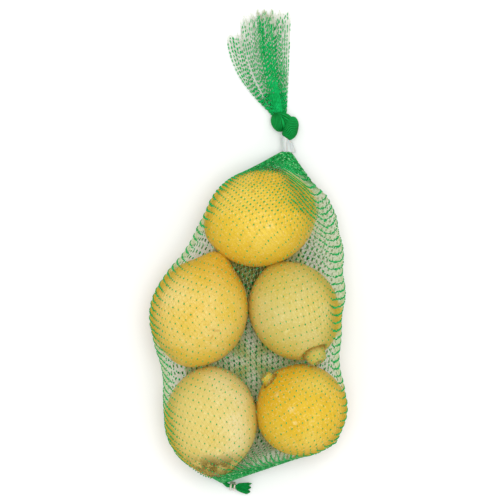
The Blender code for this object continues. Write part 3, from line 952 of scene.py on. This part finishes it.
class Nodes:
    """Short ways to add shader nodes to one material."""

    def __init__(self, name):
        self.material = bpy.data.materials.new(name)
        self.material.use_nodes = True
        self.tree = self.material.node_tree
        self.shader = self.tree.nodes["Principled BSDF"]

    def feed(self, value, socket):
        """Links another node's output to a socket, or sets it to a constant."""
        if hasattr(value, "is_linked"):
            self.tree.links.new(value, socket)
        elif socket.type == "RGBA":
            socket.default_value = (*value, 1.0)
        else:
            socket.default_value = value

    def add(self, kind, output, inputs, **settings):
        """Adds a node with these inputs and settings, and gives one of its outputs."""
        node = self.tree.nodes.new(kind)
        for key, value in settings.items():
            setattr(node, key, value)
        for key, value in inputs.items():
            self.feed(value, node.inputs[key])
        return node.outputs[output]

    def place(self):
        return self.add("ShaderNodeTexCoord", "Object", {})

    def number(self, name):
        return self.add("ShaderNodeAttribute", "Fac", {}, attribute_name=name)

    def noise(self, vector, scale, detail=4.0, roughness=0.5):
        inputs = {"Vector": vector, "Scale": scale, "Detail": detail, "Roughness": roughness}
        return self.add("ShaderNodeTexNoise", "Fac", inputs)

    def spots(self, vector, scale):
        return self.add("ShaderNodeTexVoronoi", "Distance", {"Vector": vector, "Scale": scale})

    def streaks(self, squeeze, scale, detail=3.0, roughness=0.5):
        """Noise drawn out along Y, the more so the smaller squeeze is."""
        inputs = {"Vector": self.place(), "Scale": (1.0, squeeze, 1.0)}
        return self.noise(self.add("ShaderNodeMapping", "Vector", inputs), scale, detail, roughness)

    def ramp(self, value, stops):
        colours = self.add("ShaderNodeValToRGB", "Color", {"Fac": value})
        elements = colours.node.color_ramp.elements
        for _ in range(len(stops) - 2):
            elements.new(0.5)
        for element, (position, colour) in zip(elements, stops):
            element.position = position
            element.color = (*colour, 1.0)
        return colours

    def span(self, value, low, high, most=1.0):
        """Smoothly from 0 at low to most at high, and level beyond them."""
        inputs = {"Value": value, "From Min": low, "From Max": high, "To Max": most}
        return self.add("ShaderNodeMapRange", "Result", inputs, interpolation_type="SMOOTHSTEP")

    def mix(self, share, first, second):
        return self.add("ShaderNodeMix", 2, {0: share, 6: first, 7: second}, data_type="RGBA")

    def maths(self, operation, *values):
        return self.add("ShaderNodeMath", 0, dict(enumerate(values)), operation=operation)

    def bump(self, height, distance, strength=1.0):
        inputs = {"Height": height, "Distance": distance, "Strength": strength}
        self.surface(normal=self.add("ShaderNodeBump", "Normal", inputs))

    def colour(self, source):
        self.surface(base_color=source)

    def surface(self, **values):
        """Sets or links the shader's sockets, named as in roughness or specular_ior_level."""
        for name, value in values.items():
            self.feed(value, self.shader.inputs[name.replace("_", " ").title().replace("Ior", "IOR")])


def marked(n, base, place, x, y, length, width, heading, colour):
    """The base colour with one irregular mark laid over it. Brown marks are bruises; pale ones are painted
    sheen where a fruit's highlight falls.
    """
    inputs = {
        "Vector": place,
        "Location": (x, y, 0.0),
        "Rotation": (0.0, 0.0, math.radians(heading)),
        "Scale": (length, width, 1.0),
    }
    inside = n.add("ShaderNodeMapping", "Vector", inputs, vector_type="TEXTURE")
    size = n.add("ShaderNodeVectorMath", "Value", {0: inside}, operation="LENGTH")
    ragged = n.maths("MULTIPLY_ADD", n.noise(place, 700, 4.0, 0.7), 1.8, size)
    return n.mix(n.span(ragged, 2.1, 1.1, 0.45), base, colour)


def drifting(n, place, ripe, pale, deep):
    """Three yellows that drift into each other slowly, the deepest of them also painted low on the flanks as
    shade and yellow bounce light.
    """
    base = n.mix(n.span(n.noise(place, 26, 3.0), 0.38, 0.66), ripe, pale)
    base = n.mix(n.span(n.noise(place, 55, 5.0, 0.6), 0.52, 0.74, 0.55), base, deep)
    # Painted shade: deeper yellow towards the bottom of each fruit, for the shade and yellow bounce light
    # there.
    height = n.add("ShaderNodeSeparateXYZ", "Z", {0: n.place()})
    return n.mix(n.span(height, 0.056, 0.022, 0.9), base, deep)


def stained(n, base, place, strength):
    """An olive stain round the nub, solid near it and blotched further out."""
    near = n.span(n.number("from_nub"), 0.78, 0.32)
    blotch = n.span(n.noise(place, 110, 6.0, 0.75), 0.36, 0.54)
    inner = n.span(n.number("from_nub"), 0.46, 0.14, 0.75)
    soil = n.maths("MULTIPLY", near, n.maths("MAXIMUM", blotch, inner))
    return n.mix(n.maths("MULTIPLY", soil, strength), base, (0.115, 0.080, 0.012))


def collared(n, base, place, collar):
    """A greener stub, with a wandering brown line round it in the crease of its collar, partly a crack and
    partly painted shade.
    """
    base = n.mix(n.span(n.number("from_nub"), collar, 0.7 * collar, 0.65), base, (0.50, 0.43, 0.050))
    # The brown line: partly a crack, partly painted shade in the crease round the collar.
    ring = n.maths("ABSOLUTE", n.maths("SUBTRACT", n.number("from_nub"), collar))
    wander = n.maths("MULTIPLY", n.noise(place, 120, 4.0), 0.06)
    return n.mix(n.span(n.maths("ADD", ring, wander), 0.085, 0.035, 0.85), base, (0.24, 0.12, 0.012))


def lemon_material(name, ripe, pale, deep, stain, collar, seed):
    """Waxy peel: drifting yellows with painted shade low on the flanks, pores, pale specks, scuffs, bruises
    and patches of painted sheen, and its own nub.
    """
    n = Nodes("peel_" + name)
    inputs = {"Vector": n.place(), "Location": (seed * 0.37, seed * 0.11, seed * 0.23)}
    place = n.add("ShaderNodeMapping", "Vector", inputs)
    base = drifting(n, place, ripe, pale, deep)
    if name in RIPE_ENDS:
        base = n.mix(n.span(n.number("from_nub"), 1.25, 0.45, 0.75), base, deep)
    pores = n.spots(place, 620)
    base = n.mix(n.span(pores, 0.36, 0.10, 0.55), base, deep)
    base = n.mix(n.span(n.noise(place, 800, 3.0), 0.54, 0.68, 0.30), base, (0.90, 0.78, 0.42))
    base = n.mix(n.span(n.noise(place, 90, 6.0, 0.7), 0.70, 0.76, 0.55), base, (0.52, 0.33, 0.05))
    for mark in BRUISES_AND_SHEEN[name]:
        base = marked(n, base, n.place(), *mark)
    if stain:
        base = stained(n, base, place, stain)
    if collar:
        base = collared(n, base, place, collar)
    n.colour(n.mix(n.span(n.number("from_nub"), 0.11, 0.03, 0.8), base, (0.30, 0.22, 0.05)))
    n.surface(roughness=0.52, specular_ior_level=0.16, subsurface_weight=0.10, subsurface_scale=0.004)
    n.surface(subsurface_radius=(1.0, 0.75, 0.2))
    grain = n.maths("MULTIPLY", n.noise(place, 260, 3.0), 0.7)
    n.bump(n.maths("ADD", n.maths("MULTIPLY", pores, 0.8), grain), 0.00045, 0.75)
    return n.material


def drawn_green(n):
    """Green of netting drawn together: dark between its strands as painted shade, with flecks of pale yarn.
    """
    flecks = n.streaks(0.55, 620, 4.0, 0.75)
    # The darkest stops are painted shade between the strands.
    return n.ramp(flecks, ((0.40, (0.000, 0.09, 0.008)), (0.47, (0.000, 0.30, 0.045)),
                           (0.58, (0.001, 0.45, 0.100)), (0.63, (0.52, 0.70, 0.42))))


def stitch_material():
    """Green plastic yarn, dark in the shade underneath."""
    n = Nodes("stitch_green")
    shade = n.noise(n.place(), 300, 2.0)
    open_green = n.ramp(shade, ((0.30, (0.000, 0.33, 0.060)), (0.70, (0.003, 0.47, 0.115))))
    green = n.mix(n.number("gathered"), open_green, drawn_green(n))
    shaded = n.maths("MULTIPLY", n.number("under"), 0.6)
    n.colour(n.mix(shaded, green, (0.000, 0.15, 0.026)))
    n.surface(roughness=0.60, specular_ior_level=0.12)
    n.bump(n.noise(n.place(), 4000, 2.0), 0.0001, 0.4)
    return n.material


def thread_material():
    """Clear yarn: yellow from the peel where it lies on fruit, and olive in the shade under the net."""
    n = Nodes("thread_pale")
    shade = n.noise(n.place(), 500, 2.0)
    pale = n.ramp(shade, ((0.30, (0.52, 0.62, 0.34)), (0.70, (0.68, 0.74, 0.50))))
    yellow = n.ramp(shade, ((0.30, (0.58, 0.40, 0.020)), (0.70, (0.72, 0.52, 0.060))))
    shaded = n.ramp(shade, ((0.30, (0.13, 0.14, 0.008)), (0.70, (0.22, 0.23, 0.020))))
    base = n.mix(n.number("on_fruit"), pale, yellow)
    base = n.mix(n.number("under"), base, shaded)
    n.colour(n.mix(n.number("gathered"), base, drawn_green(n)))
    n.surface(roughness=0.50, specular_ior_level=0.2)
    return n.material


def shade_material():
    """Painted shade and yellow bounce light on the sheet of fine yarn between the fruit: dark olive against
    the peel, paler in the middle of a gap.
    """
    n = Nodes("shade_olive")
    uneven = n.maths("SUBTRACT", n.noise(n.place(), 160, 4.0), 0.5)
    drift = n.maths("MULTIPLY_ADD", uneven, 0.12, n.number("clear"))
    # Painted shade: dark olive close to the peel, paler where the gap is clear of fruit.
    n.colour(n.ramp(drift, ((0.00, (0.24, 0.23, 0.012)), (0.20, (0.46, 0.49, 0.08)),
                            (0.55, (0.58, 0.66, 0.24)), (1.00, (0.92, 0.97, 0.80)))))
    n.surface(roughness=0.70, specular_ior_level=0.1, alpha=0.80)
    n.bump(n.noise(n.place(), 3000, 2.0), 0.0001, 0.4)
    return n.material


def yarn_material():
    """Netting drawn tight, as in the knot: the same green, with painted shade darker between the strands."""
    n = Nodes("yarn_green")
    patches = n.maths("MULTIPLY", n.noise(n.place(), 900, 3.0, 0.6), 0.3)
    # Painted shade: dark where the ridge is low, in the grooves between strands of the knot and the necks. In
    # the tuft the ridge is a random number per strand, a tone of its own.
    shade = n.maths("MULTIPLY_ADD", n.number("ridge"), 0.7, patches)
    n.colour(n.ramp(shade, ((0.22, (0.000, 0.060, 0.006)), (0.50, (0.000, 0.20, 0.028)),
                            (0.85, (0.001, 0.34, 0.065)))))
    n.surface(roughness=0.60, specular_ior_level=0.12)
    n.bump(n.noise(n.place(), 2600, 3.0), 0.0002, 0.8)
    return n.material


def veil_material():
    """Pale flattened yarn: streaked along the tail and half see-through."""
    n = Nodes("veil_pale")
    streaks = n.streaks(0.10, 1500, 3.0, 0.6)
    n.colour(n.ramp(streaks, ((0.30, (0.70, 0.76, 0.64)), (0.70, (0.88, 0.90, 0.82)))))
    n.surface(roughness=0.40, specular_ior_level=0.3, alpha=0.40)
    n.bump(streaks, 0.0002, 0.6)
    return n.material


def strip_material():
    """Cloudy white film, creased along the neck."""
    n = Nodes("strip_white")
    folds = n.streaks(0.12, 700)
    n.colour(n.ramp(folds, ((0.30, (0.50, 0.495, 0.48)), (0.70, (0.68, 0.675, 0.66)))))
    n.surface(roughness=0.32, specular_ior_level=0.5, subsurface_weight=0.2, subsurface_scale=0.002)
    n.bump(folds, 0.0003, 0.6)
    return n.material


def wire_material():
    """Dull wire, browned in patches."""
    n = Nodes("wire_dull")
    wear = n.noise(n.place(), 900, 4.0)
    n.colour(n.ramp(wear, ((0.35, (0.36, 0.28, 0.18)), (0.58, (0.80, 0.75, 0.66)))))
    n.surface(metallic=0.7, roughness=0.38)
    n.bump(wear, 0.0001, 0.5)
    return n.material


# ---------------------------------------------------------------- stage

def stage():
    """A pale floor."""
    mesh = bpy.data.meshes.new("floor")
    corners = [(-1, -1), (1, -1), (1, 1), (-1, 1)]
    mesh.from_pydata([(x * FLOOR_SIDE, y * FLOOR_SIDE, 0) for x, y in corners], [], [(0, 1, 2, 3)])
    n = Nodes("floor_white")
    n.surface(roughness=0.9, specular_ior_level=0.1, base_color=(FLOOR_WHITE, FLOOR_WHITE, FLOOR_WHITE))
    mesh.materials.append(n.material)
    floor = linked("floor", mesh)


def light():
    """A white sky and one soft square lamp that faces the middle of the floor."""
    world = bpy.data.worlds.new("studio")
    world.use_nodes = True
    background = world.node_tree.nodes["Background"]
    background.inputs["Color"].default_value = (1.0, 1.0, 1.0, 1.0)
    background.inputs["Strength"].default_value = SKY
    bpy.context.scene.world = world
    bpy.context.scene.view_settings.view_transform = "Standard"
    data = bpy.data.lights.new("key", "AREA")
    data.size = KEY_SIZE
    data.energy = KEY_POWER
    lamp = linked("key", data)
    lamp.location = KEY_PLACE
    lamp.rotation_euler = (-Vector(KEY_PLACE)).to_track_quat("-Z", "Y").to_euler()
    lamp.visible_camera = False


def look_down():
    """The camera, straight above the net."""
    data = bpy.data.cameras.new("camera")
    data.sensor_width = 36.0
    data.lens = data.sensor_width * CAMERA[2] / SEEN
    data.clip_end = 20.0
    camera = linked("camera", data)
    camera.location = CAMERA
    bpy.context.scene.camera = camera


# ---------------------------------------------------------------- build

def build():
    light()
    look_down()
    stage()
    rings = net_surface()
    stitches = clear_of_fruit(knit(rings))
    along, out = directions(stitches)
    stitch = stitch_material()
    thread = thread_material()
    yarn = yarn_material()
    netting = [
        net_knots(stitches, along, out, stitch),
        net_threads(stitches, out, thread),
        shade_and_yarn_sheet(rings, shade_material()),
        tail_stitches(stitch),
        tail_threads(thread),
        tail_veil(veil_material()),
        knot(yarn),
        neck(yarn),
        base_neck(yarn),
        base_tuft(yarn),
    ]
    fruit = []
    for number, (lemon, peel) in enumerate(zip(LEMONS, PEELS), 1):
        fruit.append(lemon_mesh(lemon, number, lemon_material(lemon.name, *peel, number)))
    for piece in netting + fruit:
        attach(piece, "root")
        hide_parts("net")
    strip = neck_strip(strip_material())
    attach(strip, "root")
    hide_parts("neck_band")
    wire = clip(wire_material())
    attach(wire, "root")
    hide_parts("base_clip")


build()
